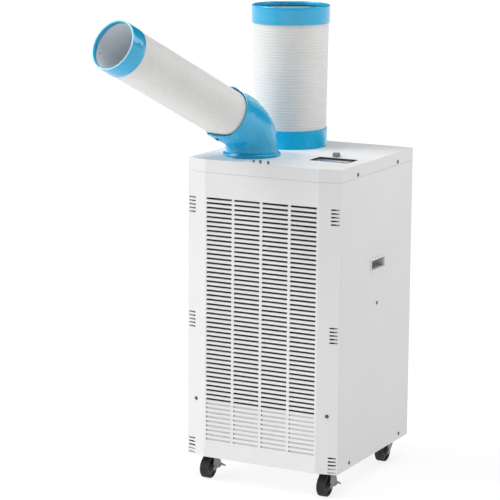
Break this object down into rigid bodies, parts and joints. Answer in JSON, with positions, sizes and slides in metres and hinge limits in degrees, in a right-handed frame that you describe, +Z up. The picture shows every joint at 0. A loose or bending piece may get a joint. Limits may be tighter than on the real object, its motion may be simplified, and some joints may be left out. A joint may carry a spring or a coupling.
{
  "type": "portable air conditioner",
  "caption": "Portable spot air conditioner: white louvred cabinet on casters, blue swivel elbow with a slanted ribbed cold duct, and an upright exhaust duct with blue collars.",
  "frame": {"origin": "on the floor under the centre of the cabinet's footprint", "axes": "+Z up; the louvred front faces -Y; +X is to the right seen from the front"},
  "size_m": [0.4425, 0.7465, 1.0804],
  "materials": {
    "cabinet_paint": "satin white powder coat",
    "front_plastic": "fine textured white moulding",
    "cover_plastic": "fine textured white moulding",
    "blue_plastic": "glossy blue moulding",
    "duct_white": "ribbed white vinyl",
    "galvanised": "galvanised sheet",
    "coil_fins": "finned aluminium",
    "copper": "drawn copper tube",
    "black_steel": "black enamel",
    "fork_steel": "dark pressed steel",
    "wheel_rubber": "ribbed black tread",
    "black_rubber": "moulded rubber",
    "fan_plastic": "black moulding",
    "scroll_plastic": "grey moulding",
    "filter_mesh": "dark mesh in a frame",
    "motor_steel": "grey enamel",
    "shaft_steel": "ground steel",
    "tank_plastic": "milky white moulding",
    "hose_vinyl": "grey vinyl",
    "board_green": "circuit board",
    "label_film": "printed film with no lettering",
    "grey_plastic": "grey moulding",
    "screw_steel": "plated screws",
    "can_aluminium": "drawn can"
  },
  "bodies": {
    "cabinet": {"base_pan": "galvanised", "corner_posts": "galvanised", "front_cover": "front_plastic", "left_side_panel": "cabinet_paint", "right_side_panel": "cabinet_paint", "rear_panel": "cabinet_paint", "top_cover": "cover_plastic", "left_handle_cup": "cover_plastic", "right_handle_cup": "cover_plastic", "upper_filter": "filter_mesh", "lower_filter": "filter_mesh", "evaporator": "coil_fins", "condenser": "coil_fins", "drain_pan": "scroll_plastic", "mid_shelf": "galvanised", "cold_scroll": "scroll_plastic", "hot_scroll": "scroll_plastic", "fan_motor": "motor_steel", "motor_bracket": "galvanised", "compressor": "black_steel", "accumulator": "black_steel", "compressor_mounts": "black_rubber", "discharge_pipe": "copper", "suction_pipe": "copper", "liquid_line": "copper", "drain_hose": "hose_vinyl", "electrical_box": "galvanised", "control_board": "board_green", "run_capacitor": "can_aluminium", "control_tray": "cover_plastic", "control_label": "label_film", "rotary_switch": "grey_plastic", "cord_gland": "black_rubber", "outlet_ring": "blue_plastic", "exhaust_base_collar": "blue_plastic", "exhaust_duct": "duct_white", "caster_plates": "fork_steel", "cabinet_screws": "screw_steel", "caster_screws": "screw_steel"},
    "fan_rotor": {"cold_wheel": "fan_plastic", "hot_wheel": "fan_plastic", "fan_shaft": "shaft_steel"},
    "duct_head": {"elbow": "blue_plastic", "pivot_screws": "screw_steel"},
    "duct_hose": {"cold_duct": "duct_white", "cold_duct_collar": "blue_plastic", "collar_screws": "screw_steel"},
    "exhaust_end": {"exhaust_top_collar": "blue_plastic"},
    "water_tank": {"drain_tank": "tank_plastic"},
    "selector": {"mode_knob": "grey_plastic"},
    "front_left_caster": {"front_left_fork": "fork_steel"},
    "front_left_roller": {"front_left_wheel": "wheel_rubber"},
    "front_right_caster": {"front_right_fork": "fork_steel"},
    "front_right_roller": {"front_right_wheel": "wheel_rubber"},
    "rear_left_caster": {"rear_left_fork": "fork_steel"},
    "rear_left_roller": {"rear_left_wheel": "wheel_rubber"},
    "rear_right_caster": {"rear_right_fork": "fork_steel"},
    "rear_right_roller": {"rear_right_wheel": "wheel_rubber"},
    "front_left_pedal": {"front_left_brake": "black_steel"},
    "front_right_pedal": {"front_right_brake": "black_steel"}
  },
  "joints": [
    {"name": "duct_swivel", "type": "hinge", "parent": "cabinet", "child": "duct_head", "pos_m": [-0.082, -0.089, 0.749], "axis": [0, 0, 1], "range_deg": [-75, 105]},
    {"name": "duct_swing", "type": "hinge", "parent": "duct_head", "child": "duct_hose", "pos_m": [-0.10437, -0.17248, 0.85074], "axis": [0.1175, 0.4385, 0.891], "range_deg": [-15, 15]},
    {"name": "exhaust_stretch", "type": "slide", "parent": "cabinet", "child": "exhaust_end", "axis": [0, 0, 1], "range_m": [-0.08, 0.12], "deforming": ["exhaust_duct"]},
    {"name": "fan_spin", "type": "hinge", "parent": "cabinet", "child": "fan_rotor", "pos_m": [-0.02, 0, 0.52], "axis": [0, 1, 0], "continuous": true},
    {"name": "tank_slide", "type": "slide", "parent": "cabinet", "child": "water_tank", "axis": [0, 1, 0], "range_m": [0, 0.14]},
    {"name": "selector_turn", "type": "hinge", "parent": "cabinet", "child": "selector", "pos_m": [0.098, -0.021, 0.749], "axis": [0, 0, 1], "range_deg": [-90, 0]},
    {"name": "front_left_swivel", "type": "hinge", "parent": "cabinet", "child": "front_left_caster", "pos_m": [-0.149, -0.152, 0.05], "axis": [0, 0, 1], "continuous": true},
    {"name": "front_left_roll", "type": "hinge", "parent": "front_left_caster", "child": "front_left_roller", "pos_m": [-0.149, -0.166, 0.025], "axis": [1, 0, 0], "continuous": true},
    {"name": "front_right_swivel", "type": "hinge", "parent": "cabinet", "child": "front_right_caster", "pos_m": [0.149, -0.152, 0.05], "axis": [0, 0, 1], "continuous": true},
    {"name": "front_right_roll", "type": "hinge", "parent": "front_right_caster", "child": "front_right_roller", "pos_m": [0.149, -0.166, 0.025], "axis": [1, 0, 0], "continuous": true},
    {"name": "rear_left_swivel", "type": "hinge", "parent": "cabinet", "child": "rear_left_caster", "pos_m": [-0.149, 0.166, 0.05], "axis": [0, 0, 1], "continuous": true},
    {"name": "rear_left_roll", "type": "hinge", "parent": "rear_left_caster", "child": "rear_left_roller", "pos_m": [-0.149, 0.152, 0.025], "axis": [1, 0, 0], "continuous": true},
    {"name": "rear_right_swivel", "type": "hinge", "parent": "cabinet", "child": "rear_right_caster", "pos_m": [0.149, 0.166, 0.05], "axis": [0, 0, 1], "continuous": true},
    {"name": "rear_right_roll", "type": "hinge", "parent": "rear_right_caster", "child": "rear_right_roller", "pos_m": [0.149, 0.152, 0.025], "axis": [1, 0, 0], "continuous": true},
    {"name": "front_left_brake_press", "type": "hinge", "parent": "front_left_caster", "child": "front_left_pedal", "pos_m": [-0.149, -0.136, 0.024], "axis": [1, 0, 0], "range_deg": [-12, 0]},
    {"name": "front_right_brake_press", "type": "hinge", "parent": "front_right_caster", "child": "front_right_pedal", "pos_m": [0.149, -0.136, 0.024], "axis": [1, 0, 0], "range_deg": [-12, 0]}
  ]
}
